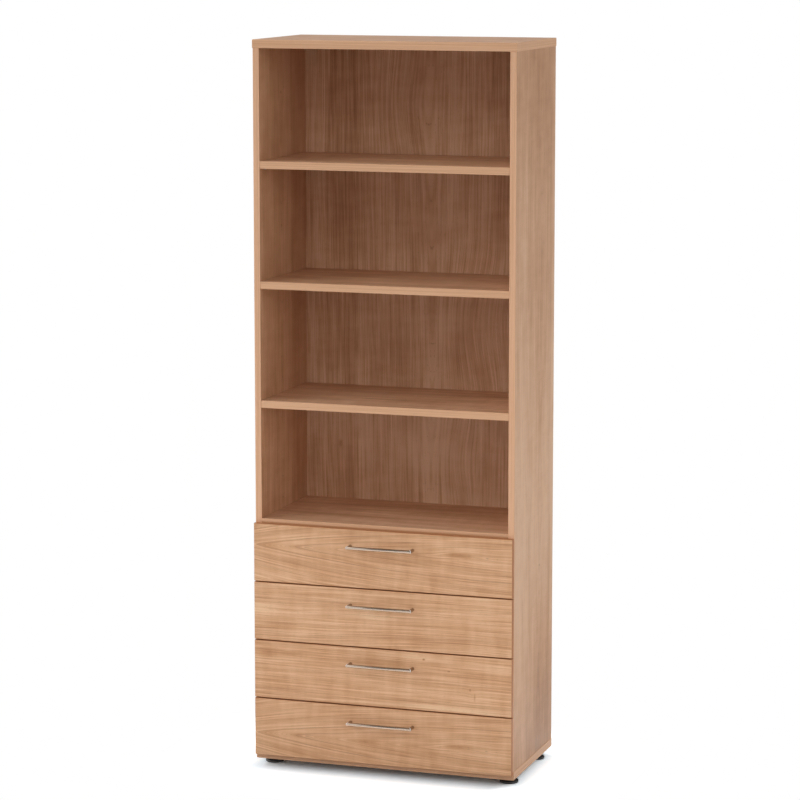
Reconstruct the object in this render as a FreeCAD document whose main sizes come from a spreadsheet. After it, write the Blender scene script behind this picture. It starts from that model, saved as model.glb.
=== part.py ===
import FreeCAD, Part
import os
from types import SimpleNamespace

import Sketcher

# Bookcase with four open compartments over four drawers on roller runners.
# Millimetres. +X to the right, -Y out of the front, +Z up.
# The origin lies on the floor, in the middle of the overall width and depth.

sizes = {
    # boards of the carcass
    "panel_width": 800,
    "carcass_depth": 405,
    "side_reveal": 1.5,
    "side_thickness": 19,
    "top_thickness": 25,
    "base_thickness": 25,
    "deck_thickness": 22,
    "shelf_thickness": 22,
    "shelf_play": 0.5,
    "shelf_setback": 1,
    "shelf_rear_gap": 1,
    "edge_break": 1,
    # heights are counted in ring-binder rows
    "binder_height": 352,
    # back panel and the grooves that hold it
    "back_thickness": 8,
    "back_inset": 10,
    "groove_depth": 7,
    "groove_play": 0.1,
    "back_edge_play": 1,
    # loose tongues that join the sides to the top, the base and the deck
    "tongue_thickness": 4,
    "tongue_depth": 10,
    "tongue_play": 0.1,
    "tongue_end_room": 0.5,
    "tongue_inset": 30,
    # pins under the loose shelves
    "pin_radius": 2.5,
    "pin_seat": 10,
    "pin_reach": 8,
    "pin_bore_play": 0.05,
    "pin_bore_spare": 1,
    "pin_inset": 37,
    # levelling feet
    "foot_height": 23,
    "foot_radius": 28,
    "foot_disc_height": 9,
    "foot_stem_radius": 4.95,
    "foot_stem_grip": 17,
    "foot_stem_play": 0.05,
    "foot_bore_depth": 20,
    "foot_side_inset": 33,
    "foot_end_inset": 65,
    # drawer fronts
    "front_thickness": 16,
    "front_gap": 1,
    "front_joint": 3,
    "front_side_inset": 0.5,
    # drawer boxes
    "box_height": 120,
    "box_side_thickness": 12,
    "box_back_thickness": 12,
    "box_bottom_thickness": 6,
    "box_bottom_lift": 8,
    "box_groove_depth": 6,
    "box_edge_play": 0.5,
    "box_overhang": 1,
    # roller runners
    "runner_space": 12.5,
    "runner_lift": 8,
    "runner_front": 2,
    "runner_rear_room": 35,
    "runner_sheet": 1.2,
    "runner_side_gap": 0.3,
    "channel_lip": 4,
    "channel_headroom": 3.6,
    "channel_flange": 6,
    "member_clearance": 4,
    "track_lift": 5.5,
    "track_reach": 8.8,
    # rollers and the axles riveted to the runners
    "roller_radius": 11.5,
    "roller_width": 6,
    "roller_gap": 0.3,
    "roller_web_gap": 1.4,
    "axle_radius": 2.5,
    "axle_play": 0.05,
    "axle_end": 0.3,
    "front_axle_inset": 18,
    "rear_axle_inset": 14,
    # handles
    "handle_spacing": 192,
    "handle_projection": 32,
    "handle_bar_radius": 5,
    "handle_corner": 5,
    "handle_drop": 50,
}

binder_rows = 6
drawer_rows = 2
drawer_count = 4
shelf_names = ["upper_shelf", "middle_shelf", "lower_shelf"]
same_place = 1e-6


def value_of(size):
    return size.value if isinstance(size, Size) else size


def text_of(size):
    return size.text if isinstance(size, Size) else str(size)


class Size:
    """A length that carries its value and the sheet expression it is bound to."""

    def __init__(self, value, text):
        self.value = value
        self.text = text

    def __add__(self, other):
        return Size(self.value + value_of(other), f"({self.text} + {text_of(other)})")

    def __sub__(self, other):
        return Size(self.value - value_of(other), f"({self.text} - {text_of(other)})")

    def __mul__(self, factor):
        return Size(self.value * factor, f"({self.text} * {factor})")

    def __truediv__(self, divisor):
        return Size(self.value / divisor, f"({self.text} / {divisor})")

    def __neg__(self):
        return Size(-self.value, f"(-{self.text})")


def make_sheet():
    """Puts every driving size in a named cell and returns them as sizes that can be reckoned with."""
    sheet = document.addObject("Spreadsheet::Sheet", "Sizes")
    named = SimpleNamespace()
    for row, (alias, number) in enumerate(sizes.items(), start=1):
        sheet.set(f"A{row}", alias)
        sheet.set(f"B{row}", str(number))
        sheet.setAlias(f"B{row}", alias)
        setattr(named, alias, Size(number, f"Sizes.{alias}"))
    document.recompute()
    return named


# Sketching and solids -------------------------------------------------------

def new_body(name):
    return document.addObject("PartDesign::Body", name)


def new_sketch(body, plane, position=0):
    """A sketch on the body's XY, XZ or YZ plane, moved to a position along the axis square to it."""
    sketch = body.newObject("Sketcher::SketchObject", f"{body.Name}_sketch")
    origin_plane = next(item for item in body.Origin.OriginFeatures if item.Role == f"{plane}_Plane")
    sketch.AttachmentSupport = [(origin_plane, "")]
    sketch.MapMode = "FlatFace"
    sign = "-" if plane == "XZ" else ""
    sketch.setExpression("AttachmentOffset.Base.z", f"{sign}({text_of(position)})")
    return sketch


def hold(sketch, kind, geometry, end, distance):
    """Ties a point to the sketch's origin along one axis."""
    index = sketch.addConstraint(Sketcher.Constraint(kind, -1, 1, geometry, end, value_of(distance)))
    sketch.setExpression(f"Constraints[{index}]", text_of(distance))


def draw_outline(sketch, corners):
    """A closed outline of straight lines through corners bound to the sheet."""
    points = [FreeCAD.Vector(value_of(x), value_of(y), 0) for x, y in corners]
    for start, end in zip(points, points[1:] + points[:1]):
        sketch.addGeometry(Part.LineSegment(start, end), False)
    for number, (x, y) in enumerate(corners):
        following = (number + 1) % len(corners)
        sketch.addConstraint(Sketcher.Constraint("Coincident", number, 2, following, 1))
        hold(sketch, "DistanceX", number, 1, x)
        hold(sketch, "DistanceY", number, 1, y)


def draw_path(sketch, corners):
    """An open path of straight lines through corners bound to the sheet. Returns its edges' names."""
    points = [FreeCAD.Vector(value_of(x), value_of(y), 0) for x, y in corners]
    for number, (start, end) in enumerate(zip(points, points[1:])):
        sketch.addGeometry(Part.LineSegment(start, end), False)
        hold(sketch, "DistanceX", number, 1, corners[number][0])
        hold(sketch, "DistanceY", number, 1, corners[number][1])
        if number:
            sketch.addConstraint(Sketcher.Constraint("Coincident", number - 1, 2, number, 1))
    last = len(points) - 2
    hold(sketch, "DistanceX", last, 2, corners[-1][0])
    hold(sketch, "DistanceY", last, 2, corners[-1][1])
    return [f"Edge{number}" for number in range(1, len(points))]


def draw_rectangle(sketch, low_x, low_y, high_x, high_y):
    draw_outline(sketch, [(low_x, low_y), (high_x, low_y), (high_x, high_y), (low_x, high_y)])


def draw_circle(sketch, x, y, radius):
    centre = FreeCAD.Vector(value_of(x), value_of(y), 0)
    circle = sketch.addGeometry(Part.Circle(centre, FreeCAD.Vector(0, 0, 1), value_of(radius)), False)
    hold(sketch, "DistanceX", circle, 3, x)
    hold(sketch, "DistanceY", circle, 3, y)
    index = sketch.addConstraint(Sketcher.Constraint("Radius", circle, value_of(radius)))
    sketch.setExpression(f"Constraints[{index}]", text_of(radius))


def extrude(body, kind, sketch, length, backwards):
    feature = body.newObject(f"PartDesign::{kind}", f"{body.Name}_{kind.lower()}")
    feature.Profile = sketch
    feature.setExpression("Length", text_of(length))
    feature.Reversed = backwards
    return feature


def pad(body, sketch, length, backwards=False):
    """Adds along the sketch's normal: +Z on XY, -Y on XZ, +X on YZ."""
    return extrude(body, "Pad", sketch, length, backwards)


def pocket(body, sketch, depth, backwards=False):
    """Cuts against the sketch's normal: -Z on XY, +Y on XZ, -X on YZ."""
    return extrude(body, "Pocket", sketch, depth, backwards)


def bore(body, plane, position, centres, radius, depth, backwards=False):
    """Round holes of one size, drilled from one plane."""
    sketch = new_sketch(body, plane, position)
    for x, y in centres:
        draw_circle(sketch, x, y, radius)
    return pocket(body, sketch, depth, backwards)


def break_edges(body, feature, *is_wanted):
    """Takes the sharp edge off wherever the feature's edge passes every test."""
    document.recompute()
    names = [
        f"Edge{number}"
        for number, edge in enumerate(feature.Shape.Edges, start=1)
        if all(test(edge.BoundBox, feature.Shape.BoundBox) for test in is_wanted)
    ]
    chamfer = body.newObject("PartDesign::Chamfer", f"{body.Name}_edges")
    chamfer.Base = (feature, names)
    chamfer.setExpression("Size", text_of(size.edge_break))
    return chamfer


def is_foremost(edge, board):
    return edge.YMax < board.YMin + same_place


def is_off_the_rear(edge, board):
    return edge.YMin < board.YMax - same_place


def runs_up(edge, board):
    return edge.ZLength > edge.XLength


def runs_across(edge, board):
    return edge.XLength > edge.ZLength


def lies_flat(edge, board):
    return edge.ZLength < same_place


def place(piece, x=0, y=0, z=0):
    for axis, distance in (("x", x), ("y", y), ("z", z)):
        piece.setExpression(f"Placement.Base.{axis}", text_of(distance))
    return piece


def copy_at(piece, name, x, y, z):
    """Another of the same piece, in a place of its own."""
    link = document.addObject("App::Link", name)
    link.LinkedObject = piece
    return place(link, x, y, z)


def mirror(piece, name):
    """The right-hand twin of a left-hand piece."""
    twin = document.addObject("Part::Mirroring", name)
    twin.Source = piece
    twin.Normal = (1, 0, 0)
    return twin


def gather(name, pieces):
    """Separate solids of one kind kept under one name."""
    group = document.addObject("Part::Compound", name)
    group.Links = pieces
    return group


# Boards of the carcass ------------------------------------------------------

def side_section():
    """The side's plan: a board with the back panel's groove in its inner face."""
    return [
        (-outer_half, front_plane),
        (-inner_half, front_plane),
        (-inner_half, groove_front),
        (-inner_half - size.groove_depth, groove_front),
        (-inner_half - size.groove_depth, groove_rear),
        (-inner_half, groove_rear),
        (-inner_half, rear_plane),
        (-outer_half, rear_plane),
    ]


def left_side():
    body = new_body("left_side")
    section = new_sketch(body, "XY", base_top)
    draw_outline(section, side_section())
    board = pad(body, section, side_height)
    break_edges(body, board, is_foremost, runs_up)
    upright_tongue_groove(body, base_top, -tongue_line, upwards=True)
    upright_tongue_groove(body, top_bottom, -tongue_line, upwards=False)
    level_tongue_groove(body, -inner_half, leftwards=True)
    pin_centres = [(y, z) for z in pin_heights for y in pin_rows]
    pin_bore = size.pin_radius + size.pin_bore_play
    bore(body, "YZ", -inner_half, pin_centres, pin_bore, size.pin_seat + size.pin_bore_spare)
    return body


def upright_tongue_groove(body, height, x, upwards):
    """Half of the slot for a tongue that crosses a level joint, cut up or down from the joint."""
    slot = new_sketch(body, "XY", height)
    draw_rectangle(slot, x - tongue_groove_half, tongue_front, x + tongue_groove_half, tongue_rear)
    pocket(body, slot, tongue_groove_depth, upwards)


def level_tongue_groove(body, x, leftwards):
    """Half of the slot for a tongue between the deck and a side, cut from the joint."""
    slot = new_sketch(body, "YZ", x)
    low = deck_middle - tongue_groove_half
    draw_rectangle(slot, tongue_front, low, tongue_rear, deck_middle + tongue_groove_half)
    pocket(body, slot, tongue_groove_depth, not leftwards)


def lapping_panel(name, bottom, thickness, joint_height, groove_upwards):
    """The top or base panel: it laps the sides and has a stopped groove for the back."""
    body = new_body(name)
    plan = new_sketch(body, "XY", bottom)
    draw_rectangle(plan, -panel_half, front_plane, panel_half, rear_plane)
    board = pad(body, plan, thickness)
    break_edges(body, board, lies_flat, is_off_the_rear)
    groove = new_sketch(body, "XY", joint_height)
    groove_half = inner_half + size.groove_depth
    draw_rectangle(groove, -groove_half, groove_front, groove_half, groove_rear)
    pocket(body, groove, size.groove_depth, groove_upwards)
    for x in (-tongue_line, tongue_line):
        upright_tongue_groove(body, joint_height, x, groove_upwards)
    return body


def base_panel():
    """The base, bored from below for the feet's stems."""
    body = lapping_panel("base_panel", size.foot_height, size.base_thickness, base_top, False)
    centres = [(x, y) for name, x, y in foot_places]
    hole = size.foot_stem_radius + size.foot_stem_play
    bore(body, "XY", size.foot_height, centres, hole, size.foot_bore_depth, backwards=True)
    return body


def flat_board(name, half_width, front, rear, top, thickness):
    body = new_body(name)
    plan = new_sketch(body, "XY", top - thickness)
    draw_rectangle(plan, -half_width, front, half_width, rear)
    board = pad(body, plan, thickness)
    break_edges(body, board, is_foremost, runs_across)
    return body


def fixed_deck():
    body = flat_board("fixed_deck", inner_half, front_plane, back_front, deck_top, size.deck_thickness)
    level_tongue_groove(body, -inner_half, leftwards=False)
    level_tongue_groove(body, inner_half, leftwards=True)
    return body


def loose_shelf(name, top):
    front = front_plane + size.shelf_setback
    rear = back_front - size.shelf_rear_gap
    return flat_board(name, inner_half - size.shelf_play, front, rear, top, size.shelf_thickness)


def back_panel():
    body = new_body("back_panel")
    reach = size.groove_depth - size.back_edge_play
    face = new_sketch(body, "XZ", back_rear)
    draw_rectangle(face, -inner_half - reach, base_top - reach, inner_half + reach, top_bottom + reach)
    pad(body, face, size.back_thickness)
    return body


# Fittings of the carcass ----------------------------------------------------

def tongue(name, x, z, width, height):
    """A loose tongue round the middle of a joint, running from front to rear."""
    strip = document.addObject("Part::Box", name)
    strip.setExpression("Length", text_of(width))
    strip.setExpression("Width", text_of(tongue_rear - tongue_front - size.tongue_end_room * 2))
    strip.setExpression("Height", text_of(height))
    return place(strip, x - width / 2, tongue_front + size.tongue_end_room, z - height / 2)


def carcass_tongues():
    """One tongue in each joint between a side and the top, the base and the deck."""
    thickness = size.tongue_thickness
    span = size.tongue_depth * 2
    left = gather("left_tongues", [
        tongue("top_tongue", -tongue_line, top_bottom, thickness, span),
        tongue("base_tongue", -tongue_line, base_top, thickness, span),
        tongue("deck_tongue", -inner_half, deck_middle, span, thickness),
    ])
    return gather("carcass_tongues", [left, mirror(left, "right_tongues")])


def shelf_pins():
    """Steel pins, two under each end of each loose shelf."""
    pin = new_body("shelf_pin")
    section = new_sketch(pin, "YZ", -inner_half - size.pin_seat)
    draw_circle(section, 0, 0, size.pin_radius)
    pad(pin, section, size.pin_seat + size.pin_reach)
    left = []
    for level, z in enumerate(pin_heights, start=1):
        for row, y in enumerate(pin_rows, start=1):
            left.append(copy_at(pin, f"shelf_pin_{level}_{row}", 0, y, z))
    left = gather("left_pins", left)
    return gather("shelf_pins", [left, mirror(left, "right_pins")])


def foot(name, x, y):
    """A levelling foot: a disc on the floor and the stem that screws into the base."""
    body = new_body(name)
    disc = new_sketch(body, "XY")
    draw_circle(disc, 0, 0, size.foot_radius)
    pad(body, disc, size.foot_disc_height)
    stem = new_sketch(body, "XY", size.foot_disc_height)
    draw_circle(stem, 0, 0, size.foot_stem_radius)
    pad(body, stem, size.foot_height - size.foot_disc_height + size.foot_stem_grip)
    return place(body, x, y)


# Roller runners -------------------------------------------------------------
# The left-hand ones are drawn. Their heights count from the channel's underside.

def axle(body, web, y, z, length, leftwards):
    """A journal riveted to a runner's web, along X."""
    section = new_sketch(body, "YZ", web)
    draw_circle(section, y, z, size.axle_radius)
    pad(body, section, length, leftwards)


def cabinet_member():
    """The channel on the cabinet side: the rear roller runs in it and the front axle stands on it."""
    body = new_body("cabinet_member")
    section = new_sketch(body, "XZ", runner_rear)
    draw_outline(section, [
        (side_face, 0),
        (channel_tip, 0),
        (channel_tip, size.channel_lip),
        (channel_tip - size.runner_sheet, size.channel_lip),
        (channel_tip - size.runner_sheet, size.runner_sheet),
        (channel_web, size.runner_sheet),
        (channel_web, channel_height - size.runner_sheet),
        (side_face + size.channel_flange, channel_height - size.runner_sheet),
        (side_face + size.channel_flange, channel_height),
        (side_face, channel_height),
    ])
    pad(body, section, runner_rear - runner_front_y)
    axle(body, channel_web, front_axle_y, front_axle_z, roller_inner - channel_web + size.axle_end, False)
    return body


def cabinet_runners():
    """The four left-hand cabinet members and the four right-hand ones."""
    member = cabinet_member()
    copies = [
        copy_at(member, f"cabinet_member_{number}", 0, 0, line + size.runner_lift)
        for number, line in enumerate(raster_lines, start=1)
    ]
    left = gather("cabinet_runners_left", copies)
    return [left, mirror(left, "cabinet_runners_right")]


def drawer_runners(number, line):
    """The track under and beside the drawer: it rides on the front roller and carries the rear axle."""
    body = new_body(f"drawer_member_{number}")
    section = new_sketch(body, "XZ", runner_rear)
    draw_outline(section, [
        (member_web - size.track_reach, track_height),
        (member_web, track_height),
        (member_web, member_bottom),
        (box_face + size.box_side_thickness, member_bottom),
        (box_face + size.box_side_thickness, member_bottom + size.runner_sheet),
        (box_face, member_bottom + size.runner_sheet),
        (box_face, track_height + size.runner_sheet),
        (member_web - size.track_reach, track_height + size.runner_sheet),
    ])
    pad(body, section, runner_rear - runner_front_y)
    axle(body, member_web, rear_axle_y, rear_axle_z, member_web - roller_outer + size.axle_end, True)
    place(body, z=line + size.runner_lift)
    return gather(f"drawer_runners_{number}", [body, mirror(body, f"drawer_member_right_{number}")])


def roller_pair(name, y, z):
    """Two rollers on one line, left and right."""
    body = new_body(f"{name}_left")
    section = new_sketch(body, "YZ", roller_outer)
    draw_circle(section, 0, 0, size.roller_radius)
    draw_circle(section, 0, 0, size.axle_radius + size.axle_play)
    pad(body, section, size.roller_width)
    place(body, y=y, z=z)
    return gather(name, [body, mirror(body, f"{name}_right")])


# Drawers --------------------------------------------------------------------

def drawer_front(number, line):
    body = new_body(f"drawer_front_{number}")
    face = new_sketch(body, "XZ", front_back_face)
    draw_rectangle(face, -front_half, front_bottom, front_half, front_top)
    board = pad(body, face, size.front_thickness)
    break_edges(body, board, is_foremost)
    groove = new_sketch(body, "XZ", front_back_face)
    draw_rectangle(groove, -box_groove_half, box_groove_bottom, box_groove_half, box_groove_top)
    pocket(body, groove, size.box_groove_depth, backwards=True)
    return place(body, z=line)


def drawer_side(number, line):
    """The left side of a box, grooved for the bottom."""
    body = new_body(f"drawer_side_left_{number}")
    outer = box_face
    inner = box_face + size.box_side_thickness
    groove = inner - size.box_groove_depth
    section = new_sketch(body, "XZ", box_rear)
    draw_outline(section, [
        (outer, box_bottom),
        (inner, box_bottom),
        (inner, box_groove_bottom),
        (groove, box_groove_bottom),
        (groove, box_groove_top),
        (inner, box_groove_top),
        (inner, box_top),
        (outer, box_top),
    ])
    pad(body, section, box_rear - front_back_face)
    return place(body, z=line)


def drawer_back(number, line):
    """The back of a box, standing on the bottom between the sides."""
    body = new_body(f"drawer_back_{number}")
    face = new_sketch(body, "XZ", box_rear)
    draw_rectangle(face, -box_inner_half, box_floor, box_inner_half, box_top)
    pad(body, face, size.box_back_thickness)
    return place(body, z=line)


def drawer_bottom(number, line):
    """The bottom of a box, let into the sides and the front."""
    body = new_body(f"drawer_bottom_{number}")
    half = box_groove_half - size.box_edge_play
    plan = new_sketch(body, "XY", box_floor - size.box_bottom_thickness)
    front = front_back_face - size.box_groove_depth + size.box_edge_play
    draw_rectangle(plan, -half, front, half, box_rear)
    pad(body, plan, size.box_bottom_thickness)
    return place(body, z=line)


def handle(number, line):
    """A bow handle: a round bar turned back to the front at both ends."""
    body = new_body(f"handle_{number}")
    reach = size.handle_projection - size.handle_bar_radius
    corner = size.handle_corner
    path = new_sketch(body, "XY")
    edges = draw_path(path, [
        (-handle_half, 0),
        (-handle_half, corner - reach),
        (corner - handle_half, -reach),
        (handle_half - corner, -reach),
        (handle_half, corner - reach),
        (handle_half, 0),
    ])
    section = new_sketch(body, "XZ")
    draw_circle(section, -handle_half, 0, size.handle_bar_radius)
    bow = body.newObject("PartDesign::AdditivePipe", f"{body.Name}_bow")
    bow.Profile = section
    bow.Spine = (path, edges)
    bow.Transition = "Right corner"
    return place(body, y=front_face, z=line + handle_height)


def drawer(number, line):
    """Every piece of one drawer, its rollers included, at its height in the cabinet."""
    left = drawer_side(number, line)
    channel = line + size.runner_lift
    return [
        drawer_front(number, line),
        left,
        mirror(left, f"drawer_side_right_{number}"),
        drawer_back(number, line),
        drawer_bottom(number, line),
        handle(number, line),
        drawer_runners(number, line),
        roller_pair(f"front_rollers_{number}", front_axle_y, channel + front_axle_z),
        roller_pair(f"rear_rollers_{number}", rear_axle_y, channel + rear_axle_z),
    ]


# Derived places -------------------------------------------------------------

document = FreeCAD.newDocument("bookcase")
size = make_sheet()

panel_half = size.panel_width / 2
outer_half = panel_half - size.side_reveal
inner_half = outer_half - size.side_thickness
front_plane = (size.handle_projection + size.front_thickness + size.front_gap - size.carcass_depth) / 2
rear_plane = front_plane + size.carcass_depth
back_rear = rear_plane - size.back_inset
back_front = back_rear - size.back_thickness
groove_front = back_front - size.groove_play
groove_rear = back_rear + size.groove_play

base_top = size.foot_height + size.base_thickness
top_bottom = base_top + size.binder_height * binder_rows - size.top_thickness
side_height = top_bottom - base_top
deck_top = base_top + size.binder_height * drawer_rows
deck_middle = deck_top - size.deck_thickness / 2
shelf_tops = [base_top + size.binder_height * row for row in range(binder_rows - 1, drawer_rows, -1)]

tongue_line = outer_half - size.side_thickness / 2
tongue_front = front_plane + size.tongue_inset
tongue_rear = back_front - size.tongue_inset
tongue_groove_half = size.tongue_thickness / 2 + size.tongue_play
tongue_groove_depth = size.tongue_depth + size.tongue_end_room
pin_rows = [front_plane + size.pin_inset, back_front - size.pin_inset]
pin_heights = [top - size.shelf_thickness - size.pin_radius for top in shelf_tops]

foot_x = panel_half - size.foot_side_inset
foot_rows = [front_plane + size.foot_end_inset, rear_plane - size.foot_end_inset]
foot_places = [
    (f"foot_{end}_{hand}", x, y)
    for end, y in zip(("front", "rear"), foot_rows)
    for hand, x in (("left", -foot_x), ("right", foot_x))
]

# A drawer's own heights count from its raster line, the foot of its share of the cabinet.
pitch = size.binder_height * drawer_rows / drawer_count
raster_lines = [base_top + pitch * (drawer_count - number) for number in range(1, drawer_count + 1)]
front_back_face = front_plane - size.front_gap
front_face = front_back_face - size.front_thickness
front_half = outer_half - size.front_side_inset
front_bottom = (size.front_joint - size.deck_thickness) / 2
front_top = front_bottom + pitch - size.front_joint
handle_half = size.handle_spacing / 2
handle_height = front_top - size.handle_drop

side_face = -inner_half
channel_web = side_face + size.runner_sheet
box_face = side_face + size.runner_space
member_web = box_face - size.runner_sheet
channel_tip = member_web - size.runner_side_gap
member_bottom = size.channel_lip + size.member_clearance
roller_outer = channel_web + size.roller_web_gap
roller_inner = roller_outer + size.roller_width
front_axle_z = size.runner_sheet + size.track_lift + size.roller_radius
rear_axle_z = size.runner_sheet + size.roller_gap + size.roller_radius
track_height = front_axle_z + size.roller_radius + size.roller_gap
channel_height = track_height + size.channel_headroom + size.runner_sheet * 2

runner_front_y = front_plane + size.runner_front
runner_rear = back_front - size.runner_rear_room
front_axle_y = runner_front_y + size.front_axle_inset
rear_axle_y = runner_rear - size.rear_axle_inset

box_rear = runner_rear + size.box_overhang
box_bottom = size.runner_lift + member_bottom + size.runner_sheet
box_top = box_bottom + size.box_height
box_inner_half = inner_half - size.runner_space - size.box_side_thickness
box_groove_half = box_inner_half + size.box_groove_depth
box_groove_bottom = box_bottom + size.box_bottom_lift - size.groove_play
box_floor = box_bottom + size.box_bottom_lift + size.box_bottom_thickness
box_groove_top = box_floor + size.groove_play

# The pieces -----------------------------------------------------------------

left = left_side()
pieces = [
    left,
    mirror(left, "right_side"),
    lapping_panel("top_panel", top_bottom, size.top_thickness, top_bottom, True),
    base_panel(),
    fixed_deck(),
    back_panel(),
    carcass_tongues(),
    shelf_pins(),
]
pieces += [loose_shelf(name, top) for name, top in zip(shelf_names, shelf_tops)]
pieces += [foot(name, x, y) for name, x, y in foot_places]
pieces += cabinet_runners()
for number, line in enumerate(raster_lines, start=1):
    pieces += drawer(number, line)
document.recompute()

for item in document.Objects:
    if "Invalid" in item.State or "Error" in item.State:
        raise RuntimeError(f"{item.Label} failed: {item.State}")
    if item.TypeId == "PartDesign::Pocket" and item.Shape.Volume >= item.BaseFeature.Shape.Volume:
        raise RuntimeError(f"{item.Label} cuts nothing")
for piece in pieces:
    if piece.Shape.isNull() or not piece.Shape.isValid() or not piece.Shape.Solids:
        raise RuntimeError(f"{piece.Label} has no sound solid")

os.makedirs("parts", exist_ok=True)
for piece in pieces:
    piece.Shape.exportStep(f"parts/{piece.Label}.step")
print(f"{len(pieces)} nodes, {sum(len(piece.Shape.Solids) for piece in pieces)} solids")
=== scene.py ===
import math

import bmesh
import bpy
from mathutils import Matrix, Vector


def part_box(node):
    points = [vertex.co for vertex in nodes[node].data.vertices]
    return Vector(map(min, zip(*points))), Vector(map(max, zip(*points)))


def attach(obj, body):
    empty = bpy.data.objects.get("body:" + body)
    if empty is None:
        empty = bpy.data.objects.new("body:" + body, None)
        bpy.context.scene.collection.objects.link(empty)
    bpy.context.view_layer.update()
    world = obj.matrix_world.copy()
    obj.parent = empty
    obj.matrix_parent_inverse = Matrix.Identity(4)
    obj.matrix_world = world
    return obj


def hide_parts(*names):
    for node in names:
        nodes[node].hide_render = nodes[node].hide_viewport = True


# Bookcase with four open compartments over four drawers. Metres, +X to the right, -Y out of the
# front, +Z up, the floor at z = 0. The frame gives the places, this file gives the finish.

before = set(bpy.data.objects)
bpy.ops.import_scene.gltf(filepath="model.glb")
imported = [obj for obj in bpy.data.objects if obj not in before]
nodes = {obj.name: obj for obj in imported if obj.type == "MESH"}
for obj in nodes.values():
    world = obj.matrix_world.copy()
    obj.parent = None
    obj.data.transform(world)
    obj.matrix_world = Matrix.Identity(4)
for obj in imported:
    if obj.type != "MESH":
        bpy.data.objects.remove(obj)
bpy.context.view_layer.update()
print("loaded", len(nodes), "nodes")

drawerNumbers = [1, 2, 3, 4]
hands = {"left": -1, "right": 1}
millimetre = 0.001


# Shader helpers

def newMaterial(name):
    material = bpy.data.materials.new(name)
    material.use_nodes = True
    material.node_tree.nodes.clear()
    return material, material.node_tree


def addNode(tree, kind, sockets=None, **settings):
    node = tree.nodes.new(kind)
    for name, value in settings.items():
        setattr(node, name, value)
    for name, value in (sockets or {}).items():
        if isinstance(value, bpy.types.NodeSocket):
            tree.links.new(value, node.inputs[name])
        else:
            node.inputs[name].default_value = value
    return node


def calc(tree, operation, *values):
    sockets = dict(enumerate(values))
    return addNode(tree, "ShaderNodeMath", sockets, operation=operation).outputs[0]


def centred(tree, value, weight):
    # 0 to 1 becomes half the weight either way
    return calc(tree, "MULTIPLY", calc(tree, "SUBTRACT", value, 0.5), weight)


def fit(tree, value, low, high, newLow=0.0, newHigh=1.0, curve="SMOOTHSTEP"):
    sockets = {"Value": value, "From Min": low, "From Max": high, "To Min": newLow, "To Max": newHigh}
    return addNode(tree, "ShaderNodeMapRange", sockets, interpolation_type=curve).outputs[0]


def noise(tree, vector, scale=1.0, detail=2.0, roughness=0.5):
    sockets = {"Vector": vector, "Scale": scale, "Detail": detail, "Roughness": roughness}
    return addNode(tree, "ShaderNodeTexNoise", sockets).outputs["Fac"]


def chance(tree, value):
    # one fixed random number from 0 to 1 for each value
    return addNode(tree, "ShaderNodeTexWhiteNoise", {"W": value}, noise_dimensions="1D").outputs["Value"]


def stretched(tree, vector, scale, move=(0.0, 0.0, 0.0)):
    sockets = {"Vector": vector, "Scale": scale, "Location": move}
    return addNode(tree, "ShaderNodeMapping", sockets).outputs[0]


def separated(tree, vector):
    return addNode(tree, "ShaderNodeSeparateXYZ", {"Vector": vector}).outputs


def joined(tree, x=0.0, y=0.0, z=0.0):
    return addNode(tree, "ShaderNodeCombineXYZ", {"X": x, "Y": y, "Z": z}).outputs[0]


def lengthOf(tree, vector):
    return addNode(tree, "ShaderNodeVectorMath", {0: vector}, operation="LENGTH").outputs["Value"]


def blended(tree, factor, first, second):
    # a colour Mix takes its factor at socket 0 and its colours at 6 and 7, and gives its colour at 2
    sockets = {0: factor, 6: first, 7: second}
    return addNode(tree, "ShaderNodeMix", sockets, data_type="RGBA", clamp_factor=True).outputs[2]


def toned(tree, value, tones):
    node = addNode(tree, "ShaderNodeValToRGB", {"Fac": value})
    ramp = node.color_ramp
    for place, shade in tones[1:-1]:
        ramp.elements.new(place)
    for element, (place, shade) in zip(ramp.elements, tones):
        element.position, element.color = place, shade
    return node.outputs["Color"]


def colour(red, green, blue):
    # 0 to 255 as seen on a screen, to the linear values that shaders take
    seen = [value / 255 for value in (red, green, blue)]
    linear = [v / 12.92 if v <= 0.04045 else ((v + 0.055) / 1.055) ** 2.4 for v in seen]
    return (*linear, 1.0)


def grey(value):
    return (value, value, value, 1.0)


def finishMaterial(tree, sockets, height, distance, strength):
    bumpSockets = {"Height": height, "Distance": distance, "Strength": strength}
    sockets["Normal"] = addNode(tree, "ShaderNodeBump", bumpSockets).outputs[0]
    shader = addNode(tree, "ShaderNodeBsdfPrincipled", sockets)
    output = addNode(tree, "ShaderNodeOutputMaterial")
    tree.links.new(shader.outputs[0], output.inputs["Surface"])


def dress(material, *names):
    for name in names:
        mesh = nodes[name].data
        mesh.materials.clear()
        mesh.materials.append(material)


# Cherry decor: one kind of printed figure, laid along or up each board

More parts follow.
